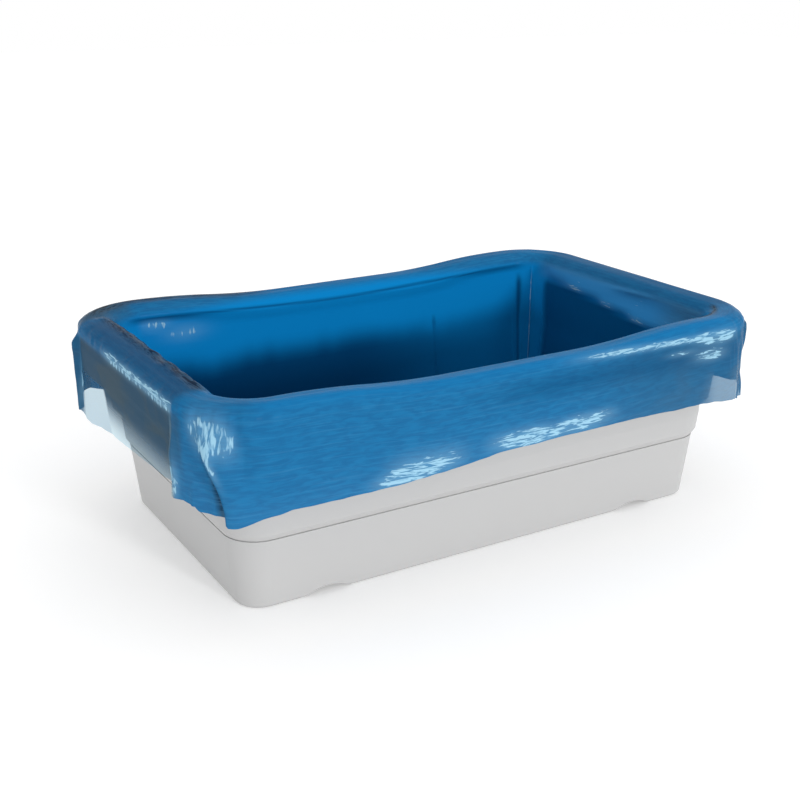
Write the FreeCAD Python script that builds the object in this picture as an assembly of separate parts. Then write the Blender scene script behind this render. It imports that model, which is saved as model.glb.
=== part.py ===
"""Open cat litter tray with a film liner folded over its rim.

The tray is one injection moulding: a raised floor panel, tapered walls with a step,
and a broad rim whose long sides dip in the middle. The rim is an inverted channel:
the wall is its inner leg, an apron its outer leg, and a lip stands out past the apron.
The liner is one bag of thin film. It lies on the floor panel, climbs the walls, goes
over the rim and hangs outside it as a skirt, and it lifts straight up out of the tray.

The origin is the centre of the underside. +X is along the tray, +Y across it and +Z up.
All sizes are in millimetres.
"""
import FreeCAD, Part
import os
from math import asin, degrees, hypot, tan, acos

Vector = FreeCAD.Vector

# Tray, overall
BASE_LENGTH = 505.0      # between the end walls' outer faces, at the floor
BASE_WIDTH = 284.0       # between the side walls' outer faces, at the floor
BASE_CORNER_R = 24.0     # upright corners, at the floor
RIM_HEIGHT = 199.0       # rim's crest at the corners and ends
RIM_REACH = 46.2         # lip's outer face beyond the wall's face at the floor
WALL = 2.5

# Tray, walls
TAPER = 0.112            # outward lean of the walls
STEP_Z = 68.0            # where the wall steps outward
STEP_RISE = 5.5
STEP_OUT = 3.0
SHADOW_GAP = 1.3         # groove that runs round under the step, as deep as it is high
UPRIGHT_Z = 92.0         # above this the wall stands upright, as the rim's inner leg
HEEL_R = 4.0             # rounding of the lowest outer edge

# Tray, floor
FOOT_WIDTH = 14.0        # flat strip round the underside that the tray stands on
PANEL_LIFT = 6.0         # underside of the floor panel above the foot strip
PANEL_MARGIN = 3.5       # flat edge of the panel that is moulded with the foot strip
NOTCH_WIDTH = 48.0       # arched notch in the foot strip, two on each long side
NOTCH_HEIGHT = 7.0
NOTCH_X = 174.0

# Tray, rim
SADDLE_DIP = 8.5         # how far the long sides' rim dips
SADDLE_FLAT = 130.0      # level stretch in the middle of the dip
CROWN_FALL = 1.5         # rim's top is this much lower at its inner edge
RIM_INNER_R = 13.0
RIM_OUTER_R = 11.0
LIP_DEPTH = 24.0
APRON_REACH = 27.0       # apron's outer face beyond the wall's face at the floor
APRON_BEND = 44.0        # apron leans in below this depth under the crest
APRON_DEPTH = 91.0       # apron's lower edge, under the crest
JOIN_DEPTH = 39.0        # level where the rim meets the wall and the apron, under the crest
LEG_DEPTH = 50.0         # rim's own legs, before they are trimmed level

# Liner
FILM = 0.6
FILM_GAP = 0.5           # clearance between the film and the tray
HEM_DEPTH = 87.0         # lower edge of the skirt, under the crest
FILM_CORNER_R = 8.0      # film's bend between the floor and the wall

CORNER_X = BASE_LENGTH / 2 - BASE_CORNER_R      # the upright corners' axes
CORNER_Y = BASE_WIDTH / 2 - BASE_CORNER_R
STEP_TOP = STEP_Z + STEP_RISE
JOIN_Z = RIM_HEIGHT - JOIN_DEPTH
HEM_Z = RIM_HEIGHT - HEM_DEPTH
LEG_OUTER = TAPER * UPRIGHT_Z + STEP_OUT
LEG_INNER = LEG_OUTER - WALL
PANEL_TOP = PANEL_LIFT + WALL
PANEL_EDGE = -(FOOT_WIDTH + WALL + PANEL_MARGIN)
FILM_LOW = -FILM_GAP - WALL                     # film's tray side at the level of the underside
FILM_WALL = LEG_INNER - FILM_GAP                # film's tray side where it stands upright


def outline(corners):
    """Closed wire in the XZ plane. A corner is (reach, height) or (reach, height, radius).

    Reach is counted outward from the wall's outer face at the floor."""
    points = [Vector(BASE_CORNER_R + c[0], 0, c[1]) for c in corners]
    radii = [c[2] if len(c) > 2 else 0.0 for c in corners]
    arcs, ends = [], []
    for i, (point, radius) in enumerate(zip(points, radii)):
        back = (points[i - 1] - point).normalize()
        ahead = (points[(i + 1) % len(points)] - point).normalize()
        if radius == 0:
            arcs.append(None)
            ends.append((point, point))
            continue
        half = acos(max(-1.0, min(1.0, back.dot(ahead)))) / 2
        trim = radius / tan(half)
        middle = (back + ahead).normalize()
        to_centre = hypot(radius, trim)
        start, end = point + back * trim, point + ahead * trim
        arcs.append(Part.Arc(start, point + middle * (to_centre - radius), end))
        ends.append((start, end))
    edges = []
    for i in range(len(points)):
        if arcs[i]:
            edges.append(arcs[i].toShape())
        start, end = ends[i][1], ends[(i + 1) % len(points)][0]
        if start.distanceToPoint(end) > 1e-6:
            edges.append(Part.LineSegment(start, end).toShape())
    return Part.Wire(edges)


def section(corners):
    return Part.Face(outline(corners))


def turned(shape, angle):
    copy = shape.copy()
    copy.rotate(Vector(0, 0, 0), Vector(0, 0, 1), angle)
    return copy


def moved(shape, x=0.0, y=0.0, z=0.0):
    copy = shape.copy()
    copy.translate(Vector(x, y, z))
    return copy


def joined(solids):
    whole = solids[0].multiFuse(solids[1:]).removeSplitter()
    return whole.Solids[0] if len(whole.Solids) == 1 else whole


def corners_of(face):
    """The section turned through each of the four upright corners."""
    solids = []
    for angle, x, y in ((0, CORNER_X, CORNER_Y), (90, -CORNER_X, CORNER_Y),
                        (180, -CORNER_X, -CORNER_Y), (270, CORNER_X, -CORNER_Y)):
        quarter = face.revolve(Vector(0, 0, 0), Vector(0, 0, 1), 90)
        solids.append(moved(turned(quarter, angle), x, y))
    return solids


def ends_of(face):
    """The section run along both short ends."""
    end = moved(face, CORNER_X, -CORNER_Y).extrude(Vector(0, 2 * CORNER_Y, 0))
    return [end, turned(end, 180)]


def level_ring(corners):
    """A section carried round the tray at one level."""
    face = section(corners)
    side = moved(turned(face, 90), CORNER_X, CORNER_Y).extrude(Vector(-2 * CORNER_X, 0, 0))
    return joined(corners_of(face) + ends_of(face) + [side, turned(side, 180)])


def saddle_side(face, crest):
    """The section run along one long side, down into the dip and up again.

    Each half of the dip is two equal arcs, one turned up and one turned down, which meet
    in the middle and are level at their outer ends."""
    across = turned(face, 90)
    run = (CORNER_X - SADDLE_FLAT / 2) / 2
    rise = SADDLE_DIP / 2
    radius = (run * run + rise * rise) / (2 * rise)
    angle = -degrees(asin(run / radius))
    along = Vector(0, 1, 0)
    low = moved(across, SADDLE_FLAT / 2, CORNER_Y, -SADDLE_DIP)
    high = moved(across, CORNER_X, CORNER_Y)
    valley = low.revolve(Vector(SADDLE_FLAT / 2, 0, crest - SADDLE_DIP + radius), along, angle)
    shoulder = high.revolve(Vector(CORNER_X, 0, crest - radius), along, angle)
    middle = low.extrude(Vector(-SADDLE_FLAT, 0, 0))
    mirrored = [s.mirror(Vector(0, 0, 0), Vector(1, 0, 0)) for s in (valley, shoulder)]
    return [middle, valley, shoulder] + mirrored


def saddle_ring(corners, crest):
    """A section carried round the rim, dipping on the long sides, cut level below."""
    face = section(corners)
    side = saddle_side(face, crest)
    ring = joined(corners_of(face) + ends_of(face) + side + [turned(s, 180) for s in side])
    span = 2 * BASE_LENGTH
    above = Part.makeBox(span, span, RIM_HEIGHT, Vector(-span / 2, -span / 2, JOIN_Z))
    return ring.common(above).Solids[0]


def plate(edge, low, high):
    """A flat plate of the tray's outline, its edge at the given reach."""
    x, y, r = BASE_LENGTH / 2 + edge, BASE_WIDTH / 2 + edge, BASE_CORNER_R + edge
    block = Part.makeBox(2 * x, 2 * y, high - low, Vector(-x, -y, low))
    upright = [e for e in block.Edges if abs(e.Vertexes[0].Z - e.Vertexes[1].Z) > 1e-6]
    return block.makeFillet(r, upright)


def wall_ring():
    """Foot strip, the rise to the floor panel, and the stepped wall up to the rim."""
    def face_at(z):
        return TAPER * z
    groove_z = STEP_Z - SHADOW_GAP
    step_low = face_at(STEP_Z)
    step_high = face_at(STEP_TOP) + STEP_OUT
    return level_ring([
        (0, 0, HEEL_R),
        (face_at(groove_z), groove_z),
        (face_at(groove_z) - SHADOW_GAP, groove_z),
        (face_at(groove_z) - SHADOW_GAP, STEP_Z),
        (step_low, STEP_Z),
        (step_high, STEP_TOP, 2.5),
        (LEG_OUTER, UPRIGHT_Z, 12.0),
        (LEG_OUTER, JOIN_Z),
        (LEG_INNER, JOIN_Z),
        (LEG_INNER, UPRIGHT_Z, 12.0),
        (step_high - WALL, STEP_TOP + 1, 1.2),
        (step_low - WALL, STEP_Z + 1, 2.5),
        (face_at(WALL) - WALL, WALL, HEEL_R - WALL),
        (-FOOT_WIDTH, WALL, 1.5),
        (-FOOT_WIDTH, PANEL_TOP, 2.0),
        (PANEL_EDGE, PANEL_TOP),
        (PANEL_EDGE, PANEL_LIFT),
        (-FOOT_WIDTH - WALL, PANEL_LIFT, 0.8),
        (-FOOT_WIDTH - WALL, 0, 1.5),
    ])


def apron_ring():
    """Outer leg of the rim, leaning in towards its free lower edge."""
    bend_z, foot_z = RIM_HEIGHT - APRON_BEND, RIM_HEIGHT - APRON_DEPTH
    foot = APRON_REACH - TAPER * (bend_z - foot_z)
    return level_ring([
        (APRON_REACH, JOIN_Z),
        (APRON_REACH - WALL, JOIN_Z),
        (APRON_REACH - WALL, bend_z),
        (foot - WALL, foot_z, 0.8),
        (foot, foot_z, 0.8),
        (APRON_REACH, bend_z),
    ])


def rim_ring():
    """Crowned top of the rim with the start of both legs and the lip."""
    top, foot = RIM_HEIGHT, RIM_HEIGHT - LEG_DEPTH

    def under(reach):
        return top - WALL - CROWN_FALL * (RIM_REACH - reach) / (RIM_REACH - LEG_INNER)
    apron_inner = APRON_REACH - WALL
    return saddle_ring([
        (LEG_INNER, foot),
        (LEG_INNER, top - CROWN_FALL, RIM_INNER_R),
        (RIM_REACH, top, RIM_OUTER_R),
        (RIM_REACH, top - LIP_DEPTH, 1.0),
        (RIM_REACH - WALL, top - LIP_DEPTH, 1.0),
        (RIM_REACH - WALL, under(RIM_REACH - WALL), RIM_OUTER_R - WALL),
        (APRON_REACH, under(APRON_REACH), 4.0),
        (APRON_REACH, foot),
        (apron_inner, foot),
        (apron_inner, under(apron_inner), 1.0),
        (LEG_OUTER, under(LEG_OUTER), 8.0),
        (LEG_OUTER, foot),
    ], top)


def notch_arch(x, side, grow, deep):
    """Round bar lying across the foot strip of one long side, arched above the floor."""
    half = NOTCH_WIDTH / 2
    radius = (half * half + NOTCH_HEIGHT * NOTCH_HEIGHT) / (2 * NOTCH_HEIGHT)
    inner = BASE_WIDTH / 2 - deep
    base = Vector(x, side * inner, NOTCH_HEIGHT - radius)
    return Part.makeCylinder(radius + grow, deep + HEEL_R, base, Vector(0, side, 0))


def tray():
    body = joined([wall_ring(), plate(PANEL_EDGE, PANEL_LIFT, PANEL_TOP), apron_ring(), rim_ring()])
    places = [(x, side) for x in (-NOTCH_X, NOTCH_X) for side in (-1, 1)]
    lean = TAPER * PANEL_TOP
    heel = level_ring([(0, 0, HEEL_R), (lean, PANEL_TOP), (PANEL_EDGE, PANEL_TOP), (PANEL_EDGE, 0)])
    covers = [notch_arch(x, side, WALL, FOOT_WIDTH + WALL).common(heel) for x, side in places]
    body = joined([body] + covers)
    for x, side in places:
        body = body.cut(notch_arch(x, side, 0, FOOT_WIDTH + WALL + 1))
    return body.removeSplitter().Solids[0]


def liner_wall_ring():
    """Film from the edge of the floor up to the rim, straight past the wall's step."""
    bend_z = (FILM_WALL - FILM_LOW) / TAPER
    floor_z = PANEL_TOP + FILM_GAP
    return level_ring([
        (PANEL_EDGE, floor_z),
        (FILM_LOW + TAPER * floor_z, floor_z, FILM_CORNER_R),
        (FILM_WALL, bend_z, 20.0),
        (FILM_WALL, JOIN_Z),
        (FILM_WALL - FILM, JOIN_Z),
        (FILM_WALL - FILM, bend_z, 20.0),
        (FILM_LOW - FILM + TAPER * floor_z, floor_z + FILM, FILM_CORNER_R - FILM),
        (PANEL_EDGE, floor_z + FILM),
    ])


def liner_rim_ring():
    """Film over the rim's crown, from the inner wall to the top of the skirt."""
    foot = RIM_HEIGHT - LEG_DEPTH
    near, far = RIM_HEIGHT + FILM_GAP, RIM_HEIGHT + FILM_GAP + FILM
    skirt = RIM_REACH + FILM_GAP
    return saddle_ring([
        (FILM_WALL, foot),
        (FILM_WALL, near - CROWN_FALL, RIM_INNER_R + FILM_GAP),
        (skirt, near, RIM_OUTER_R + FILM_GAP),
        (skirt, foot),
        (skirt + FILM, foot),
        (skirt + FILM, far, RIM_OUTER_R + FILM_GAP + FILM),
        (FILM_WALL - FILM, far - CROWN_FALL, RIM_INNER_R + FILM_GAP + FILM),
        (FILM_WALL - FILM, foot),
    ], RIM_HEIGHT)


def liner_skirt_ring():
    skirt = RIM_REACH + FILM_GAP
    return level_ring([(skirt, HEM_Z), (skirt, JOIN_Z), (skirt + FILM, JOIN_Z), (skirt + FILM, HEM_Z)])


def liner_bag():
    floor_z = PANEL_TOP + FILM_GAP
    return joined([liner_wall_ring(), plate(PANEL_EDGE, floor_z, floor_z + FILM),
                   liner_rim_ring(), liner_skirt_ring()])


os.makedirs("parts", exist_ok=True)
nodes = {"tray": tray(), "liner_bag": liner_bag()}
for name, shape in nodes.items():
    shape.exportStep("parts/" + name + ".step")
    box = shape.BoundBox
    print(name, shape.ShapeType, "valid", shape.isValid(), "solids", len(shape.Solids),
          "faces", len(shape.Faces), "volume cm3", round(shape.Volume / 1000, 1),
          "box", [round(v, 2) for v in (box.XMin, box.YMin, box.ZMin, box.XMax, box.YMax, box.ZMax)])
print("overlap mm3", round(nodes["tray"].common(nodes["liner_bag"]).Volume, 4),
      "gap mm", round(nodes["tray"].distToShape(nodes["liner_bag"])[0], 3))
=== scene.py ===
"""Open cat litter tray lined with a bag of blue film, on a white studio floor.

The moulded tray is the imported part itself. The film is one sheet made here: it lies on
the tray's floor, climbs the walls, goes over the rim and hangs outside it as a skirt.
Sizes are in millimetres and are turned to metres where a mesh is made.
"""
from math import acos, atan2, cos, hypot, pi, radians, sin, tan

import bmesh
import bpy
import numpy as np
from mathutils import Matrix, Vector


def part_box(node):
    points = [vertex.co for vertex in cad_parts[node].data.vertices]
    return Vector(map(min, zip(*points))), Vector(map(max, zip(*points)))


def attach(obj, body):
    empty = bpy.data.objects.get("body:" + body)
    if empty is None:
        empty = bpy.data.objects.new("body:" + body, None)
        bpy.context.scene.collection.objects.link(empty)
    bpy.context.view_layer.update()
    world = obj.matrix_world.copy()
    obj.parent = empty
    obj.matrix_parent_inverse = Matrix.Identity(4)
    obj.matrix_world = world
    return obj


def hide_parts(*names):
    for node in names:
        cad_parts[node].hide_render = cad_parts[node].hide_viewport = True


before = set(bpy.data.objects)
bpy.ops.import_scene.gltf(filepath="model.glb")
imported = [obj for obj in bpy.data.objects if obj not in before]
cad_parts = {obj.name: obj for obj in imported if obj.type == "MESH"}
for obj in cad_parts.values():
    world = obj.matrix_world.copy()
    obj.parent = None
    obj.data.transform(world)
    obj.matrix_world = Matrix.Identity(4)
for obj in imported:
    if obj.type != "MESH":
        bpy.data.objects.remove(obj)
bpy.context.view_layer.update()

MM = 0.001
TRAY_HIGH = [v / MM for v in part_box("tray")[1]]

# The tray's shape that the film follows
CORNER_R = 24.0          # upright corners, at the floor
RIM_REACH = 46.2         # lip's outer face beyond the wall's outer face at the floor
LEG_INNER = 10.8         # wall's inner face where it stands upright
WALL = 2.5
TAPER = 0.112
PANEL_TOP = 8.5
RIM_HEIGHT = 199.0
CROWN_FALL = 1.5
RIM_INNER_R = 13.0
RIM_OUTER_R = 11.0
SADDLE_DIP = 8.5
SADDLE_FLAT = 130.0
CORE_X = TRAY_HIGH[0] - RIM_REACH - CORNER_R     # the upright corners' axes
CORE_Y = TRAY_HIGH[1] - RIM_REACH - CORNER_R

# The film
CLEAR = 0.8              # film's distance from the tray where it lies on it
SKIRT_R = CORNER_R + RIM_REACH + CLEAR
FLOOR_EDGE = -20.0       # reach at which the floor's rings end
FLOOR_BEND_R = 8.0       # bend from the floor to the wall
WALL_BEND_R = 20.0       # bend from the leaning wall to its upright part
BEND_LENGTH = 14.0       # distance along the film in which it leaves the floor
RIM_DEPTH = 36.0         # rim's closer rows start this far under the crest
SKIRT_START = 3.0        # skirt's own rows start this far under the rim's outer bend
CREST_BLEND = 6.0        # inside turns to outside over this distance each side of the crest
DIP_FROM, DIP_TO = 110, 180      # heights between which the walls take up the rim's dip
FLOOR_LIFT = 0.9         # highest wave of the film on the floor
LONG_COLUMNS = 190
END_COLUMNS = 105
CORNER_COLUMNS = 72
FLOOR_ROWS = 12
BEND_ROWS = 5
WALL_ROWS = 28
RIM_ROWS = 34
SKIRT_ROWS = 36

# How far the film's folds stand off its smooth path
UPPER_GATHER, LOWER_GATHER = 2.2, 1.8
FRONT_LEFT_FOLD = 7.5
FRONT_LEFT_STRIP = 3.4
FRONT_LEFT_TUCK = 2.0
BACK_LEFT_FLAP = 6.0
BACK_RIGHT_FOLD = 4.0
TWIST, TWIST_PINCH = 6.0, 4.8
SHOULDER_CREASE, SHOULDER_WAVE = 2.6, 1.2
RIM_WRINKLE = 1.3
CROWN_LINE = 0.5
BACK_SLACK = 3.0
RIGHT_SLACK = 5.5
RIGHT_RIDGE = 2.2
INNER_CORNER_FOLD = 3.6
WALL_FOLD, WALL_WAVE = 0.8, 0.4
BACK_RIGHT_LINE = 2.0
BACK_UPRIGHT = 2.4

# Stretches of the rim that the film's colour follows: half their length, and how far each
# takes to fade out beyond it
LEFT_STRETCH = (120, 6)
RIGHT_STRETCH = (130, 40)
LONG_STRETCH = (235, 40)

# Distance round the skirt, from the left end of the front, towards the right
LONG = 2 * CORE_X
END = 2 * CORE_Y
ARC = SKIRT_R * pi / 2
RIGHT_START = LONG + ARC
BACK_START = RIGHT_START + END + ARC
LEFT_START = BACK_START + LONG + ARC
ROUND = LEFT_START + END + ARC
CORNERS = ("front right", "back right", "back left", "front left")


def soft(low, high, value):
    """0 below low, 1 above high, and a smooth rise between them."""
    t = np.clip((value - low) / (high - low), 0.0, 1.0)
    return t * t * (3 - 2 * t)


def hump(value, middle, spread):
    return np.exp(-((value - middle) / spread) ** 2)


def apart(s, place):
    """Signed distance from a place, the short way round the skirt."""
    return (s - place + ROUND / 2) % ROUND - ROUND / 2


def front(x):
    return CORE_X + x


def right(y):
    return RIGHT_START + CORE_Y + y


def back(x):
    return BACK_START + CORE_X - x


def left(y):
    return LEFT_START + CORE_Y - y


def corner(name, angle):
    """Place in a corner, the angle counted on from the side before it."""
    start = {"front right": LONG, "back right": RIGHT_START + END,
             "back left": BACK_START + LONG, "front left": LEFT_START + END}[name]
    return start + SKIRT_R * radians(angle)


def waves(s, v, wave_s, wave_v, seed):
    """Smooth random waves from 0 to 1, of a given length round the rim and across it."""
    random = np.random.default_rng(seed)
    count_s = max(3, round(ROUND / wave_s))
    count_v = 400
    lattice = random.random((count_s, count_v))
    at_s = (s % ROUND) / ROUND * count_s
    at_v = (v / wave_v + 40.0) % (count_v - 1)
    i = np.floor(at_s).astype(int) % count_s
    j = np.floor(at_v).astype(int)
    fs = at_s - np.floor(at_s)
    fv = at_v - j
    fs = fs * fs * (3 - 2 * fs)
    fv = fv * fv * (3 - 2 * fv)
    k = (i + 1) % count_s
    low = lattice[i, j] * (1 - fs) + lattice[k, j] * fs
    high = lattice[i, j + 1] * (1 - fs) + lattice[k, j + 1] * fs
    return low * (1 - fv) + high * fv


def creases(s, v, wave_s, wave_v, seed):
    """Sharp-topped waves from 0 to 1, like folds in a crumpled film."""
    return 1 - np.abs(2 * waves(s, v, wave_s, wave_v, seed) - 1)


def end_zone(s, place, half, fade):
    """1 along a stretch of the rim, fading out beyond it."""
    return 1 - soft(half, half + fade, np.abs(apart(s, place)))


# Lines that both the film's shape and its colour follow: s or depth where each one runs

def front_left_fold(below):
    return corner("front left", 30) + 22 * soft(8, 92, below)


def back_left_flap(below):
    return corner("back left", 76) + 8 * soft(20, 95, below)


def front_right_twist(below):
    return corner("front right", 60) - 5 * soft(20, 90, below)


def back_crease(s):
    return 13 + 7.5 * hump(apart(s, back(0)), 10, 150)


def right_fold(s):
    return 26 + 22 * soft(-130, 130, -apart(s, right(0)))


# ---------------------------------------------------------------- the film's grid

def rounded(corners, step=1.0):
    """Points along a line of (reach, height, radius) corners with its bends as arcs."""
    points = []
    for i, (reach, height, radius) in enumerate(corners):
        here = np.array([reach, height])
        if radius == 0:
            points.append(here)
            continue
        before = np.array(corners[i - 1][:2]) - here
        after = np.array(corners[i + 1][:2]) - here
        before = before / np.linalg.norm(before)
        after = after / np.linalg.norm(after)
        half = acos(np.clip(before @ after, -1, 1)) / 2
        trim = radius / tan(half)
        middle = before + after
        centre = here + middle / np.linalg.norm(middle) * hypot(radius, trim)
        start = here + before * trim - centre
        end = here + after * trim - centre
        turn = atan2(start[0] * end[1] - start[1] * end[0], start @ end)
        count = max(4, round(abs(turn) * radius / step))
        for k in range(count + 1):
            a = turn * k / count
            points.append(centre + [start[0] * cos(a) - start[1] * sin(a),
                                    start[0] * sin(a) + start[1] * cos(a)])
    return np.array(points)


def film_section():
    """Rows of the film from the edge of the floor to the top of the skirt.

    Gives each row's reach and height, the direction that its visible side faces, and its
    distance along the film."""
    floor_z = PANEL_TOP + CLEAR
    low = -WALL - CLEAR
    upright = LEG_INNER - CLEAR
    line = rounded([
        (FLOOR_EDGE, floor_z, 0),
        (low + TAPER * floor_z, floor_z, FLOOR_BEND_R),
        (upright, (upright - low) / TAPER, WALL_BEND_R),
        (upright, RIM_HEIGHT - CROWN_FALL + CLEAR, RIM_INNER_R + CLEAR),
        (RIM_REACH + CLEAR, RIM_HEIGHT + CLEAR, RIM_OUTER_R + CLEAR),
        (RIM_REACH + CLEAR, RIM_HEIGHT - RIM_OUTER_R - SKIRT_START, 0),
    ])
    steps = np.hypot(*np.diff(line, axis=0).T)
    along = np.concatenate([[0], np.cumsum(steps)])
    rim_starts = along[np.argmax(line[:, 1] > RIM_HEIGHT - RIM_DEPTH)]
    wall_rows = np.linspace(BEND_LENGTH, rim_starts, WALL_ROWS, endpoint=False)
    bend_rows = np.linspace(0, BEND_LENGTH, BEND_ROWS, endpoint=False)
    rim_rows = np.linspace(rim_starts, along[-1], RIM_ROWS)
    places = np.concatenate([bend_rows, wall_rows, rim_rows])
    reach = np.interp(places, along, line[:, 0])
    height = np.interp(places, along, line[:, 1])
    ahead, behind = places + 0.5, places - 0.5
    slope_r = np.interp(ahead, along, line[:, 0]) - np.interp(behind, along, line[:, 0])
    slope_z = np.interp(ahead, along, line[:, 1]) - np.interp(behind, along, line[:, 1])
    size = np.hypot(slope_r, slope_z)
    return reach, height, -slope_z / size, slope_r / size, places


def film_columns():
    """Each column's distance round the skirt, from the bag's side seam in the back right
    corner. The corners, where it creases, are closer set."""
    sides = (
        (LONG, LONG_COLUMNS),
        (ARC, CORNER_COLUMNS),
        (END, END_COLUMNS),
        (ARC, CORNER_COLUMNS),
    )
    places = []
    walked = 0.0
    for length, count in sides * 2:
        places.append(walked + length * np.arange(count) / count)
        walked += length
    places = np.concatenate(places)
    seam = corner("back right", 45)
    return np.sort(np.where(places < seam, places + ROUND, places))


def stand(s):
    """The point on the upright corners' rectangle and the outward direction at each place."""
    s = s % ROUND
    core = np.zeros((len(s), 2))
    turn = np.zeros(len(s))
    walked = 0.0
    ring = [(-CORE_X, -CORE_Y), (CORE_X, -CORE_Y), (CORE_X, CORE_Y), (-CORE_X, CORE_Y)]
    for k, length in enumerate((LONG, END, LONG, END)):
        here, ahead = np.array(ring[k]), np.array(ring[(k + 1) % 4])
        straight = (s >= walked) & (s < walked + length)
        core[straight] = here + np.outer((s[straight] - walked) / length, ahead - here)
        turn[straight] = 90 * k
        walked += length
        bend = (s >= walked) & (s <= walked + ARC)
        core[bend] = ahead
        turn[bend] = 90 * k + 90 * (s[bend] - walked) / ARC
        walked += ARC
    angle = np.radians(turn - 90)
    return core, np.column_stack([np.cos(angle), np.sin(angle)])


def drifted(s, below):
    """Columns near a slanting fold lean with it, so that its edge stays clean."""
    for line, reach in ((front_left_fold, 32), (back_left_flap, 16), (front_right_twist, 14)):
        start = line(0 * below)
        s = s + (line(below) - start) * hump(apart(s, start), 0, reach)
    return s


def saddle(core, out):
    """How far the rim has dipped at each column: two equal arcs each side of a flat."""
    run = (CORE_X - SADDLE_FLAT / 2) / 2
    rise = SADDLE_DIP / 2
    radius = (run * run + rise * rise) / (2 * rise)
    x = np.abs(core[:, 0])
    from_flat = np.clip(x - SADDLE_FLAT / 2, 0, run)
    from_end = np.clip(CORE_X - x, 0, run)
    low = SADDLE_DIP - (radius - np.sqrt(radius ** 2 - from_flat ** 2))
    high = radius - np.sqrt(radius ** 2 - from_end ** 2)
    dip = np.where(x > SADDLE_FLAT / 2 + run, high, low)
    return np.where(np.abs(out[:, 1]) > 0.999, dip, 0.0)


def hem_heights(s):
    """Height of the skirt's lower edge. It was pulled down by hand, so it is uneven."""
    marks = [
        (front(-228), 110), (front(-130), 110), (front(-69), 113), (front(-25), 118),
        (front(40), 119.5), (front(146), 120.5), (front(211), 119.5),
        (corner("front right", 0), 119), (corner("front right", 15), 116.5),
        (corner("front right", 32), 113), (corner("front right", 45), 107),
        (corner("front right", 57), 106), (corner("front right", 60), 121),
        (corner("front right", 70), 117), (corner("front right", 90), 113),
        (right(-40), 112), (right(60), 112),
        (corner("back right", 20), 110),
        (corner("back right", 45), 104), (corner("back right", 70), 109),
        (back(150), 108), (back(40), 106), (back(-90), 108), (back(-210), 104),
        (corner("back left", 0), 106), (corner("back left", 30), 108.5),
        (corner("back left", 48), 118), (corner("back left", 68), 121),
        (corner("back left", 70.5), 111), (corner("back left", 84), 111),
        (corner("back left", 87), 102.5), (left(108), 101.6), (left(76), 107.5),
        (left(44), 112.5), (left(0), 114),
        (left(-65), 119), (left(-100), 121.5), (left(-116), 124.5),
        (corner("front left", 2), 112), (corner("front left", 14), 114.5),
        (corner("front left", 26), 113), (corner("front left", 27.5), 110),
        (corner("front left", 42), 109), (corner("front left", 47), 108),
        (corner("front left", 50), 102.5), (corner("front left", 56), 102.5),
        (corner("front left", 72), 106.5), (ROUND + front(-228), 110),
    ]
    places, heights = zip(*marks)
    even = np.interp(s % ROUND, places, heights)
    nicks = 0.7 * (waves(s, 0 * s, 9, 10, 3) - 0.5) + 0.9 * (waves(s, 0 * s, 34, 10, 4) - 0.5)
    return even + nicks


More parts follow.
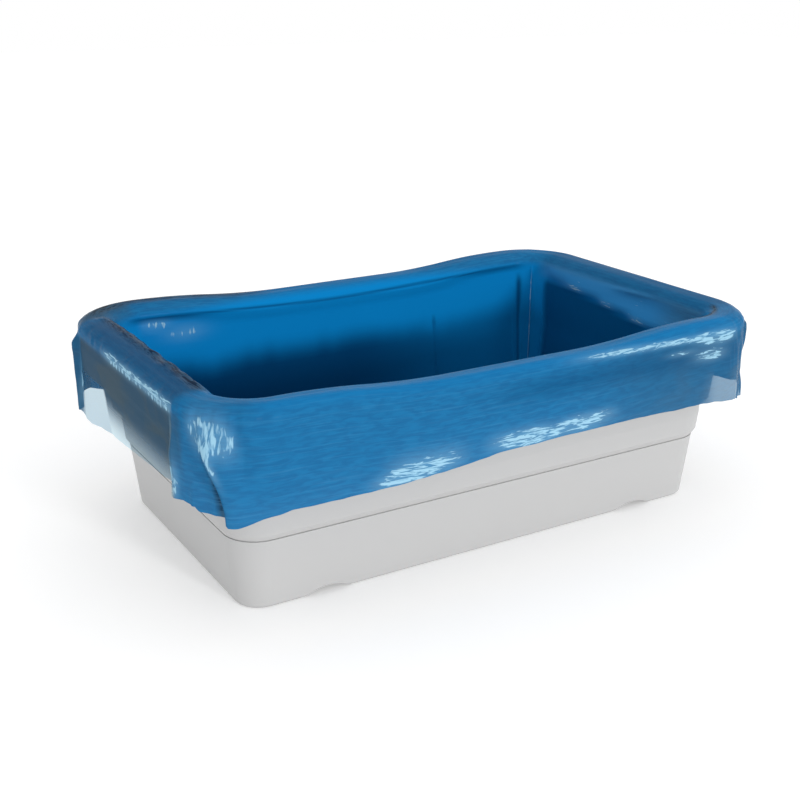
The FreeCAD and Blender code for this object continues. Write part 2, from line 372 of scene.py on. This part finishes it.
def film_relief(s, below, z, inside, v):
    """How far the film stands off its smooth path, in mm. It is never pressed inward, so the
    bag still lifts straight out. s goes round, below is the depth under the crest, inside
    is 1 within the tray and 0 outside the rim's top, and v is the way over the rim. Places,
    lengths and depths in it are in mm, and each wave and crease ends in its own seed."""
    outside = 1 - inside
    relief = np.zeros_like(z)

    # Slack and stretch lines along the skirt
    hang = outside * soft(2, 30, below)
    relief += hang * (0.3 * waves(s, z, 90, 11, 11) + 1.2 * waves(s, z, 170, 60, 12))
    relief += hang * 0.25 * creases(s, z + s / 40, 55, 7, 13)

    # Gathers round the outside of each corner
    for k, name in enumerate(CORNERS):
        away = apart(s, corner(name, 45))
        fan = away * (1 + below / 160)
        upper = np.exp(-(away / 40) ** 4) * soft(0, 9, below) * (1 - soft(34, 62, below))
        relief += outside * upper * UPPER_GATHER * creases(fan, below, 7.5, 42, 20 + k)
        lower = np.exp(-(away / 48) ** 4) * soft(30, 60, below)
        relief += outside * lower * LOWER_GATHER * creases(fan, below, 19, 120, 30 + k)

    # Front left corner: the front's film is folded over and drops sharply at the fold
    ahead = apart(s, front_left_fold(below))
    lapped = soft(-1.2, 1.6, ahead) * (1 - soft(4, 30, ahead))
    relief += outside * soft(10, 40, below) * FRONT_LEFT_FOLD * lapped
    # The strip between that fold and the end lies over the end's film
    lap = apart(s, corner("front left", 1))
    strip = soft(-1.0, 1.4, lap) * (1 - soft(0, 16, lap)) * soft(26, 50, below)
    relief += outside * FRONT_LEFT_STRIP * strip
    tuck = apart(s, corner("front left", 24))
    relief += outside * FRONT_LEFT_TUCK * np.exp(-(tuck / 2.2) ** 2) * soft(60, 80, below)

    # Back left corner: a narrow fold hangs down the corner
    flap = apart(s, back_left_flap(below))
    relief += outside * BACK_LEFT_FLAP * np.exp(-(flap / 3.0) ** 2) * soft(11, 24, below)
    # Front right corner: a twisted fold, pinched half way down
    twist = apart(s, front_right_twist(below))
    spread = 2.2 + 1.4 * soft(60, 90, below)
    pinch = TWIST - TWIST_PINCH * hump(below, 60, 16)
    relief += outside * pinch * np.exp(-(twist / spread) ** 2) * soft(8, 20, below)
    # Back right corner: spare film stands out beside the bag's side seam
    spare = apart(s, corner("back right", 40))
    relief += outside * BACK_RIGHT_FOLD * np.exp(-(spare / 3.0) ** 2) * soft(10, 24, below)

    # Rim: loose wrinkles where the film turns over its ends
    on_left = end_zone(s, left(0), 118, 26)
    shoulder = hump(v, -14, 10) * on_left
    relief += shoulder * (SHOULDER_CREASE * creases(s, v - s / 14, 34, 7, 52)
                          + SHOULDER_WAVE * waves(s, v, 15, 8, 53))
    relief += on_left * hump(v, 13, 7) * RIM_WRINKLE * creases(s, v, 10, 8, 54)
    relief += hump(v, -4, 9) * CROWN_LINE * creases(s, v, 70, 6, 55)

    # Inside the back: the film leaves the rim loosely and meets the wall at a crease
    along_back = apart(s, back(0))
    over = back_crease(s) - below
    loose = soft(-1.2, 1.6, over) * (1 - soft(2, 15, over))
    relief += inside * BACK_SLACK * loose * np.exp(-(along_back / 205) ** 6)
    # Inside the right end: slack folds lie aslant under the rim
    along_right = apart(s, right(0))
    over = right_fold(s) - below
    slack = soft(-1.5, 1.5, over) * (1 - soft(4, 26, over))
    relief += inside * RIGHT_SLACK * slack * np.exp(-(along_right / 124) ** 8)
    ridge = below - 12 - 0.05 * (along_right + 30)
    relief += inside * RIGHT_RIDGE * np.exp(-(ridge / 2.0) ** 2) * hump(along_right, -20, 45)

    # Inside: upright folds at the corners, and faint ones along the walls
    for k, name in enumerate(CORNERS):
        away = apart(s, corner(name, 45))
        zone = np.exp(-(away / 52) ** 4) * soft(16, 40, below) * inside
        relief += zone * INNER_CORNER_FOLD * creases(s, z, 17, 400, 60 + k)
    relief += inside * soft(24, 60, below) * (WALL_FOLD * creases(s, z, 46, 260, 65)
                                              + WALL_WAVE * waves(s, z, 14, 90, 66))
    thin = apart(s, corner("back right", 47))
    relief += inside * BACK_RIGHT_LINE * np.exp(-(thin / 2.0) ** 2) * soft(14, 24, below)
    upright = apart(s, back(118))
    lifted = soft(-2, 1, upright) * (1 - soft(1, 26, upright))
    relief += inside * BACK_UPRIGHT * lifted * soft(58, 72, below)
    return relief


def film_grid():
    """The whole film as rows of points, with how far inside the tray each one is and its
    distance over the film and round it, all in mm."""
    reach, height, face_r, face_z, along = film_section()
    s = film_columns()
    core, out = stand(s)
    top = height[-1]
    crest = RIM_HEIGHT + CLEAR
    over_crest = along[np.argmax(height)]
    rows = []
    for i in range(FLOOR_ROWS):
        t = i / FLOOR_ROWS
        centre = np.column_stack([core[:, 0] * (CORE_X - CORE_Y) / CORE_X, 0 * s])
        edge = core + out * (CORNER_R + FLOOR_EDGE)
        flat = centre * (1 - t) + edge * t
        lift = FLOOR_LIFT * waves(flat[:, 0] * 3 + 2000, flat[:, 1] * 3, 40, 60, 71) * t
        rows.append((flat, PANEL_TOP + CLEAR + lift, 1 + 0 * s, 40 * (t - 1) + 0 * s, s))
    for r, z, n_r, n_z, v in zip(reach, height, face_r, face_z, along):
        inside = 1 - soft(-CREST_BLEND, CREST_BLEND, v - over_crest) + 0 * s
        dips = soft(DIP_FROM, DIP_TO, z)
        place = drifted(s, (crest - z) * (1 - inside))
        core, out = stand(place)
        dip = saddle(core, out)
        below = np.maximum(crest - z - dip * (1 - dips), 0)
        relief = film_relief(place, below, z - dip * dips, inside, v - over_crest + 0 * s)
        relief = relief * soft(0, BEND_LENGTH, v)
        flat = core + out * (CORNER_R + r + relief * n_r)[:, None]
        rows.append((flat, z - dip * dips + relief * n_z, inside, v + 0 * s, place))
    hem = hem_heights(s)
    for i in range(1, SKIRT_ROWS + 1):
        t = i / SKIRT_ROWS
        place = drifted(s, crest - top * (1 - t) - hem * t)
        core, out = stand(place)
        dip = saddle(core, out)
        z = (top - dip) * (1 - t) + hem_heights(place) * t
        v = along[-1] + top - dip - z
        relief = film_relief(place, crest - dip - z, z, 0 * s, v - over_crest)
        flat = core + out * (SKIRT_R + relief)[:, None]
        rows.append((flat, z, 0 * s, v, place))
    points = np.stack([np.column_stack([flat, z + 0 * s]) for flat, z, _, _, _ in rows])
    inside, over, place = (np.stack([row[k] for row in rows]) for k in (2, 3, 4))
    return points, inside, over - over_crest, place


def film_values(points, inside, v, s):
    """Seven shares from 0 to 1 at each point, which blown_polyethylene_film reads: cover is
    how opaque the film is, three paint shade, one paints light where the film catches it,
    and two paint highlights on its creases."""
    x, y, z = points[..., 0], points[..., 1], points[..., 2]
    outside = 1 - inside
    below = RIM_HEIGHT + CLEAR - z
    on_left = end_zone(s, left(0), *LEFT_STRETCH)
    past_left = apart(s, left(0))
    round_left = (1 - soft(114, 134, past_left)) * (1 - soft(100, 146, -past_left))
    on_right = end_zone(s, right(0), *RIGHT_STRETCH)
    on_back = end_zone(s, back(0), *LONG_STRETCH)
    on_front = end_zone(s, front(0), *LONG_STRETCH)
    skirt = outside * soft(10, 18, below)

    # Share of light that the pigment stops. The left end hangs as a single thin layer
    cover = 0.97 + 0.02 * inside
    thin = skirt * on_left
    window = thin * soft(46, 50, below) * soft(-3, 3, y - 50 - 0.36 * (z - 134))
    cover += 0.02 * thin - 0.66 * window
    cover -= 0.84 * thin * (1 - window) * soft(50, 88, below)
    cover -= 0.22 * skirt * soft(205, 232, x) * soft(45, 55, below) * (1 - on_right)

    # Painted shade in grey-blue: where the film of the left end hangs in its own shade, over the
    # tops of the rim's ends and down the folds at the corners
    slate_shade = thin * (1 - 0.45 * window) * (1 - 0.5 * soft(50, 88, below))
    slate_shade = np.maximum(slate_shade, 0.40 * round_left * hump(v, 0, 18))
    slate_shade = np.maximum(slate_shade, 0.5 * skirt * end_zone(s, corner("front left", 6), 6, 10)
                       * (1 - soft(40, 70, below)))
    slate_shade = np.maximum(slate_shade, 0.20 * on_right * hump(v, 0, 34))
    # The front's skirt is drawn darker towards its right
    slate_shade = np.maximum(slate_shade, 0.42 * skirt * soft(20, 200, x) * (1 - on_right))
    slate_shade = np.maximum(slate_shade, 0.55 * skirt * end_zone(s, corner("back left", 70), 26, 6))
    slate_shade = np.maximum(slate_shade, 0.5 * skirt * end_zone(s, corner("front right", 66), 8, 5))
    slate_shade = np.maximum(slate_shade, 0.9 * end_zone(s, corner("back left", 48), 30, 26) * hump(v, 0, 22))

    # Painted shade with a dull grey painted reflection, in bands where the film bends hard over the
    # rim and beside the folds of the front left corner
    shade_and_glare = round_left * hump(v, -13, 7)
    shade_and_glare = np.maximum(shade_and_glare, 0.9 * end_zone(s, corner("front right", 30), 34, 24) * hump(v, -15, 3))
    shade_and_glare = np.maximum(shade_and_glare, 0.5 * on_front * hump(v, -19, 4) * (1 - soft(-160, 0, x)))
    shade_and_glare = np.maximum(shade_and_glare, 0.95 * end_zone(s, back(-200), 75, 60) * hump(v, 0, 11))
    shade_and_glare = np.maximum(shade_and_glare, 0.7 * outside * hump(apart(s, front_left_fold(below)), -2.5, 3.5)
                       * soft(30, 60, below))
    shade_and_glare = np.maximum(shade_and_glare, 0.55 * outside * hump(apart(s, corner("front left", 0)), -1, 2.5)
                       * soft(20, 40, below))

    # Painted shade in navy: deep in the tray, under the rim's folds, and on the tops of the ends
    shoulder = 66 - 8 * soft(60, 240, x) + 10 * (waves(s, 0 * s, 60, 10, 91) - 0.5)
    shoulder += 3 * (waves(s, 0 * s, 13, 10, 92) - 0.5)
    deepest = 0.95 - 0.5 * soft(0, 210, x)
    deep = deepest * inside * soft(shoulder - 12, shoulder + 24, below)
    deep = np.maximum(deep, 0.8 * inside * end_zone(s, right(0), 128, 20)
                      * soft(-1, 8, below - right_fold(s)))
    deep = np.maximum(deep, 0.5 * round_left * hump(v, 0, 18))
    deep = np.maximum(deep, 0.75 * np.maximum(on_right, on_back) * hump(v, 18, 7))
    deep = np.maximum(deep, 0.4 * skirt * on_front * hump(below, 30, 12) * soft(-80, 30, x))
    deep = np.maximum(deep, 0.3 * on_back * hump(v, 4, 18))
    deep = np.maximum(deep, 0.3 * on_right * hump(v, 0, 30))
    deep = np.maximum(deep, 0.75 * inside * on_back * hump(back_crease(s) - below, -0.5, 1.4))
    dark_fold = apart(s, corner("back right", 74))
    deep = np.maximum(deep, 0.8 * inside * hump(dark_fold, 0, 7) * soft(20, 34, below))
    deep = np.maximum(deep, 0.9 * inside * hump(apart(s, back(119)), 0, 1.6) * soft(56, 66, below))

    # The tray's floor gets an even painted shade
    on_floor = inside * (1 - soft(24, 70, z))
    deep = deep * (1 - on_floor) + 0.7 * on_floor

    # Brighter blue where the film catches the light: the front's crown and the back's wall
    bright = 0.4 * on_front * hump(v, 2, 9)
    bright = np.maximum(bright, inside * soft(6, 16, below) * soft(-110, -50, y) * (1 - on_floor))

    # Painted highlights on the film's creases: one share runs along the film, the other down it.
    # Those on the front's skirt have a place, a height, half a width, half a height and a strength
    highlight_along = np.zeros_like(z)
    front_highlights = (
        (front(-102), 122, 38, 12, 1.05),
        (front(-128), 115, 28, 6, 0.95),
        (front(42), 126, 54, 8, 1.0),
        (front(-6), 127, 34, 9, 1.0),
        (front(72), 133, 30, 5, 0.85),
    )
    for place, height, width, tall, much in front_highlights:
        highlight_along += outside * much * np.exp(-(apart(s, place) / width) ** 4) * hump(z, height, tall)
    at_front = outside * on_front
    highlight_along += at_front * 1.4 * hump(below, 12, 3.0) * np.exp(-((x - 155) / 92) ** 4)
    highlight_along += at_front * 1.5 * hump(below, 15, 6.5) * hump(x, 228, 28)
    highlight_along += at_front * 1.5 * hump(below, 31, 6) * hump(x, 218, 20)
    highlight_along += at_front * 0.9 * hump(below, 24, 3) * hump(x, 180, 18)
    along_left = np.exp(-(apart(s, left(-40)) / 90) ** 8)
    uneven = along_left * (0.5 + 0.6 * waves(s, 0 * s, 26, 10, 81))
    uneven += 0.5 * on_left * hump(apart(s, left(-96)), 0, 26)
    highlight_along += 1.5 * outside * on_left * hump(below, 10, 3.4) * uneven
    highlight_down = 1.1 * outside * on_left * hump(below, 14, 4) * uneven
    fan = apart(s, corner("front left", 38) + 0.25 * (below - 20))
    highlight_down += 1.7 * outside * np.exp(-(fan / 19) ** 4) * hump(below, 24, 15)
    highlight_down += outside * 1.6 * hump(apart(s, corner("front left", 5)), 0, 6) * hump(z, 128, 16)
    highlight_down += outside * 1.0 * hump(apart(s, front_left_fold(below)), 4, 3) * hump(below, 48, 14)
    highlight_down += outside * 1.0 * hump(apart(s, corner("back left", 84)), 0, 2.4) * hump(below, 60, 26)
    highlight_down += outside * 0.9 * hump(apart(s, corner("front left", 1)), 0, 1.8) * soft(14, 24, below)
    highlight_down += inside * 1.5 * hump(apart(s, back(-216)), 0, 15) * hump(below, 23, 4)
    highlight_down += inside * 0.9 * hump(apart(s, back(-184)), 0, 22) * hump(below, 34, 8)
    highlight_down += inside * 1.0 * hump(apart(s, corner("back right", 47)), 0, 1.5) * soft(18, 30, below)
    highlight_along += 1.8 * on_back * hump(v, 6, 5) * (hump(x, -178, 24) + hump(x, 90, 24))
    above_fold = right_fold(s) - below
    highlight_along += inside * on_right * 1.1 * hump(above_fold, 1.5, 1.8)
    highlight_along += inside * on_right * 0.42 * soft(2, 6, above_fold) * soft(6, 12, below)
    return {"cover": np.clip(cover, 0, 1), "slate_shade": np.clip(slate_shade, 0, 1),
            "shade_and_glare": np.clip(shade_and_glare, 0, 1), "deep": np.clip(deep, 0, 1),
            "bright": np.clip(bright, 0, 1),
            "highlight_along": np.clip(highlight_along, 0, 1), "highlight_down": np.clip(highlight_down, 0, 1)}


def make_film():
    """The liner bag as one sheet of film, open at its hem."""
    points, inside, v, s = film_grid()
    values = film_values(points, inside, v, s)
    rows, columns = s.shape
    length = v.max() - v.min()
    u_grid = np.column_stack([s, s[:, 0] + ROUND]) / ROUND
    v_grid = np.column_stack([v, v[:, 0]]) / length + 0.5
    faces = []
    uv = []
    for i in range(rows - 1):
        for j in range(columns):
            k = (j + 1) % columns
            upper, lower = i * columns, (i + 1) * columns
            faces.append((upper + j, lower + j, lower + k, upper + k))
            for a, b in ((i, j), (i + 1, j), (i + 1, j + 1), (i, j + 1)):
                uv += (u_grid[a, b], v_grid[a, b])
    mesh = bpy.data.meshes.new("liner_film")
    mesh.from_pydata((points.reshape(-1, 3) * MM).tolist(), [], faces)
    mesh.uv_layers.new(name="film").data.foreach_set("uv", uv)
    for name, value in values.items():
        attribute = mesh.attributes.new(name, "FLOAT", "POINT")
        attribute.data.foreach_set("value", value.reshape(-1))
    shell = bmesh.new()
    shell.from_mesh(mesh)
    bmesh.ops.remove_doubles(shell, verts=shell.verts, dist=1e-5)
    bmesh.ops.dissolve_degenerate(shell, edges=shell.edges, dist=1e-6)
    shell.to_mesh(mesh)
    shell.free()
    mesh.shade_smooth()
    film = bpy.data.objects.new("liner_film", mesh)
    bpy.context.scene.collection.objects.link(film)
    return film, length


# ---------------------------------------------------------------- materials

def colour(code):
    """sRGB hex to the linear colour that a shader wants."""
    channels = [int(code[i:i + 2], 16) / 255 for i in (1, 3, 5)]
    linear = [c / 12.92 if c <= 0.04045 else ((c + 0.055) / 1.055) ** 2.4 for c in channels]
    return (*linear, 1.0)


TRAY_GREY = colour("#b6b6b6")
TRAY_GRAIN = 0.9         # mm
POLYPROPYLENE_IOR = 1.49
FLOOR_WHITE = colour("#f8f8f8")
WHITE = colour("#ffffff")

# The film
POLYETHYLENE_IOR = 1.5
LIGHT_THROUGH = 0.15     # share of the light that the pigment passes on
FILM_SHINE, SLATE_SHINE = 0.01, -0.006   # specular level, and its change where it is slate
FILM_BUMP, SLATE_BUMP = 0.13, -0.1       # the same for the strength of the fine creases
LINE_SHARE = 0.35        # strength of the lighter lines in the blue
# Pale painted highlights on the creases, and an even painted sheen between them
HIGHLIGHT_LEVEL = 0.86        # creases above this level turn pale
HIGHLIGHT_PUSH = 0.46         # how far a share lifts the creases towards it
HIGHLIGHT_SHEEN = 0.22         # even paleness between the marks
BLUE_DARK = colour("#1f689b")
BLUE_LIGHT = colour("#2173a7")
BLUE_LINE = colour("#3a83b2")
BLUE_BRIGHT = colour("#0a86cc")
# Painted shade in grey-blue
SLATE_SHADE_DARK = colour("#305068")
SLATE_SHADE_LIGHT = colour("#3d5362")
# Painted shade in near black, with a dull grey painted reflection in its lighter streaks
GLARE_SHADE_DARK = colour("#060d13")
GLARE_SHADE_LIGHT = colour("#345065")
# Painted shade in navy
SHADE_NAVY = colour("#033c69")
# Pale painted highlights
HIGHLIGHT_PALE = colour("#9ccbe3")
CLEAR_TINT = (0.80, 0.95, 1.0, 1.0)      # linear: the light that the thin film lets past


def add(tree, kind, inputs=None, **settings):
    """Adds a node. An input is a value, or another node's output that is linked to it."""
    node = tree.nodes.new(kind)
    for name, value in settings.items():
        setattr(node, name, value)
    for name, value in (inputs or {}).items():
        if isinstance(value, bpy.types.NodeSocket):
            tree.links.new(value, node.inputs[name])
        else:
            node.inputs[name].default_value = value
    return node


def new_material(name):
    material = bpy.data.materials.new(name)
    material.use_nodes = True
    material.node_tree.nodes.clear()
    return material, material.node_tree


def moulded_polypropylene():
    """Injection-moulded polypropylene: light grey, satin, with a very fine spark-eroded grain
    that keeps its highlights soft. The real grain is finer, and is drawn coarser to show."""
    material, tree = new_material("moulded_polypropylene")
    place = add(tree, "ShaderNodeTexCoord").outputs["Object"]
    grain = add(tree, "ShaderNodeTexNoise", {
        "Vector": place, "Scale": 1 / (TRAY_GRAIN * MM), "Detail": 2.0})
    bump = add(tree, "ShaderNodeBump", {
        "Height": grain.outputs["Fac"], "Strength": 0.08, "Distance": 0.1 * MM})
    surface = add(tree, "ShaderNodeBsdfPrincipled", {
        "Base Color": TRAY_GREY, "Roughness": 0.48, "IOR": POLYPROPYLENE_IOR,
        "Normal": bump.outputs["Normal"]})
    add(tree, "ShaderNodeOutputMaterial", {"Surface": surface.outputs["BSDF"]})
    return material


def blown_polyethylene_film(film_length):
    """Blown polyethylene film tinted blue: smooth, with few highlights of its own, and it
    lets a little light through. Shade is painted on it in grey-blue, in near black with a
    dull grey reflection and in navy, light as brighter blue, and highlights as pale blue."""
    material, tree = new_material("blown_polyethylene_film")
    uv = add(tree, "ShaderNodeUVMap", uv_map="film").outputs["UV"]
    share = {}
    for name in ("cover", "slate_shade", "shade_and_glare", "deep", "bright", "highlight_along", "highlight_down"):
        share[name] = add(tree, "ShaderNodeAttribute", attribute_name=name).outputs["Fac"]

    def streaks(long_mm, tall_mm, detail=3.0, distortion=0.6):
        """Random streaks of a given length round the rim and height across it."""
        scaled = add(tree, "ShaderNodeMapping", {
            "Vector": uv, "Scale": (ROUND / long_mm, film_length / tall_mm, 1.0)})
        return add(tree, "ShaderNodeTexNoise", {
            "Vector": scaled.outputs["Vector"], "Scale": 1.0, "Detail": detail,
            "Distortion": distortion}).outputs["Fac"]

    # Where each pattern shows: a smooth step between two levels of its streaks
    lines = streaks(80, 1.8, 2.0, 0.2)
    patterns = {
        "mottle": (streaks(15, 3.2, 5.0), 0.35, 0.65),
        "lines": (lines, 0.5, 0.75),
        "clouds": (streaks(60, 34, 4.0), 0.42, 0.62),
        "shade_glare": (streaks(17, 2.6, 3.0, 1.2), 0.44, 0.53),
    }
    shows = {}
    for name, (pattern, low, high) in patterns.items():
        shows[name] = add(tree, "ShaderNodeMapRange", {
            "Value": pattern, "From Min": low, "From Max": high},
            interpolation_type="SMOOTHSTEP").outputs["Result"]
    faint_lines = add(tree, "ShaderNodeMath", {0: shows["lines"], 1: LINE_SHARE},
                      operation="MULTIPLY").outputs[0]

    # Painted highlights: pale marks on the film's fine creases, pushed up where a share asks for
    # them, and an even painted sheen between them
    crease_highlights = []
    for name, pattern, full in (("highlight_along", streaks(15, 2.2, 4.0, 0.9), 1.02),
                                ("highlight_down", streaks(4.0, 17, 4.0, 0.9), 1.04)):
        pushed = add(tree, "ShaderNodeMath", {0: share[name], 1: HIGHLIGHT_PUSH, 2: pattern},
                     operation="MULTIPLY_ADD").outputs[0]
        crease_highlights.append(add(tree, "ShaderNodeMapRange", {
            "Value": pushed, "From Min": HIGHLIGHT_LEVEL, "From Max": full},
            interpolation_type="SMOOTHSTEP").outputs["Result"])
    highlight_sum = add(tree, "ShaderNodeMath", {0: share["highlight_down"], 1: share["highlight_along"]},
                   operation="ADD").outputs[0]
    painted_sheen = add(tree, "ShaderNodeMath", {0: highlight_sum, 1: HIGHLIGHT_SHEEN},
               operation="MULTIPLY").outputs[0]
    highlight_peaks = add(tree, "ShaderNodeMath", dict(enumerate(crease_highlights)),
                operation="MAXIMUM").outputs[0]
    marks = add(tree, "ShaderNodeMath", {0: highlight_peaks, 1: painted_sheen}, operation="MAXIMUM").outputs[0]

    # The base blues, then painted light, painted shade and painted highlights, each laid over the
    # one before by its share
    slate_shade = add(tree, "ShaderNodeMix", {0: shows["clouds"], 6: SLATE_SHADE_DARK, 7: SLATE_SHADE_LIGHT},
                data_type="RGBA").outputs[2]
    shade_glare = add(tree, "ShaderNodeMix", {0: shows["shade_glare"], 6: GLARE_SHADE_DARK, 7: GLARE_SHADE_LIGHT},
                data_type="RGBA").outputs[2]
    tinted = BLUE_DARK
    for amount, tint in ((shows["mottle"], BLUE_LIGHT), (faint_lines, BLUE_LINE),
                         (share["bright"], BLUE_BRIGHT), (share["slate_shade"], slate_shade),
                         (share["shade_and_glare"], shade_glare), (share["deep"], SHADE_NAVY), (marks, HIGHLIGHT_PALE)):
        tinted = add(tree, "ShaderNodeMix", {0: amount, 6: tinted, 7: tint},
                     data_type="RGBA").outputs[2]

    # Where grey-blue shade is painted, the film hangs smoother and shines less
    height = add(tree, "ShaderNodeMath", {0: lines, 1: 0.3, 2: streaks(14, 4.0)},
                 operation="MULTIPLY_ADD").outputs[0]
    taut = add(tree, "ShaderNodeMath", {0: share["slate_shade"], 1: SLATE_BUMP, 2: FILM_BUMP},
               operation="MULTIPLY_ADD").outputs[0]
    shine = add(tree, "ShaderNodeMath", {0: share["slate_shade"], 1: SLATE_SHINE, 2: FILM_SHINE},
                operation="MULTIPLY_ADD").outputs[0]
    bump = add(tree, "ShaderNodeBump", {"Height": height, "Strength": taut, "Distance": 0.8 * MM})
    gloss = add(tree, "ShaderNodeBsdfPrincipled", {
        "Base Color": tinted, "Roughness": 0.2, "IOR": POLYETHYLENE_IOR,
        "Specular IOR Level": shine, "Normal": bump.outputs["Normal"]})
    glow = add(tree, "ShaderNodeBsdfTranslucent", {"Color": tinted})
    pigment = add(tree, "ShaderNodeMixShader", {
        0: LIGHT_THROUGH, 1: gloss.outputs["BSDF"], 2: glow.outputs["BSDF"]})
    clear = add(tree, "ShaderNodeBsdfTransparent", {"Color": CLEAR_TINT})
    film = add(tree, "ShaderNodeMixShader", {
        0: share["cover"], 1: clear.outputs["BSDF"], 2: pigment.outputs["Shader"]})
    add(tree, "ShaderNodeOutputMaterial", {"Surface": film.outputs["Shader"]})
    return material


def studio_floor_paint():
    """Matt white floor paint, with a little glow of its own so that it stays white."""
    material, tree = new_material("studio_floor_paint")
    surface = add(tree, "ShaderNodeBsdfPrincipled", {
        "Base Color": FLOOR_WHITE, "Roughness": 0.9,
        "Emission Color": WHITE, "Emission Strength": 0.14})
    add(tree, "ShaderNodeOutputMaterial", {"Surface": surface.outputs["BSDF"]})
    return material


# ---------------------------------------------------------------- studio

FLOOR_HALF = 8.0         # metres
SURROUNDINGS = 0.98      # their strength as a light; the background itself shows at 1
KEY_ENERGY = 1.1
KEY_SPREAD, KEY_BEARING, KEY_HEIGHT = radians(9), radians(12), radians(14)
CAMERA_PLACE = (-0.59673, -0.97819, 0.51006)
CAMERA_AZIMUTH, CAMERA_ELEVATION = radians(30.68), radians(19.5)
LENS, SENSOR = 53.69, 36.0


def pointed(thing, ahead):
    """Turns a lamp's or a camera's object to face along a direction."""
    thing.rotation_mode = "QUATERNION"
    thing.rotation_quaternion = ahead.to_track_quat("-Z", "Y")
    bpy.context.scene.collection.objects.link(thing)


def make_floor():
    half = FLOOR_HALF
    mesh = bpy.data.meshes.new("studio_floor")
    mesh.from_pydata([(-half, -half, 0), (half, -half, 0), (half, half, 0), (-half, half, 0)],
                     [], [(0, 1, 2, 3)])
    floor = bpy.data.objects.new("studio_floor", mesh)
    bpy.context.scene.collection.objects.link(floor)
    mesh.materials.append(studio_floor_paint())


def make_light():
    """White surroundings, and one broad low light from the front."""
    world = bpy.data.worlds.new("studio")
    world.use_nodes = True
    tree = world.node_tree
    tree.nodes.clear()
    seen = add(tree, "ShaderNodeLightPath").outputs["Is Camera Ray"]
    strength = add(tree, "ShaderNodeMapRange", {
        "Value": seen, "To Min": SURROUNDINGS, "To Max": 1.0})
    white = add(tree, "ShaderNodeBackground", {
        "Color": WHITE, "Strength": strength.outputs["Result"]})
    add(tree, "ShaderNodeOutputWorld", {"Surface": white.outputs["Background"]})
    bpy.context.scene.world = world
    lamp = bpy.data.lights.new("front_key", "SUN")
    lamp.energy = KEY_ENERGY
    lamp.angle = KEY_SPREAD
    pointed(bpy.data.objects.new("front_key", lamp), Vector((
        -sin(KEY_BEARING) * cos(KEY_HEIGHT), cos(KEY_BEARING) * cos(KEY_HEIGHT), -sin(KEY_HEIGHT))))


def make_camera():
    """Stands to the front left of the tray and looks down on it."""
    level = cos(CAMERA_ELEVATION)
    ahead = Vector((
        sin(CAMERA_AZIMUTH) * level, cos(CAMERA_AZIMUTH) * level, -sin(CAMERA_ELEVATION)))
    lens = bpy.data.cameras.new("camera")
    lens.sensor_width = SENSOR
    lens.lens = LENS
    camera = bpy.data.objects.new("camera", lens)
    camera.location = CAMERA_PLACE
    pointed(camera, ahead)
    bpy.context.scene.camera = camera


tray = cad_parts["tray"]
tray_plastic = moulded_polypropylene()
for slot in tray.material_slots:
    slot.material = tray_plastic

film, film_length = make_film()
film.data.materials.append(blown_polyethylene_film(film_length))
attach(film, "liner")
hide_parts("liner_bag")

make_floor()
make_light()
make_camera()
bpy.context.scene.view_settings.view_transform = "Standard"
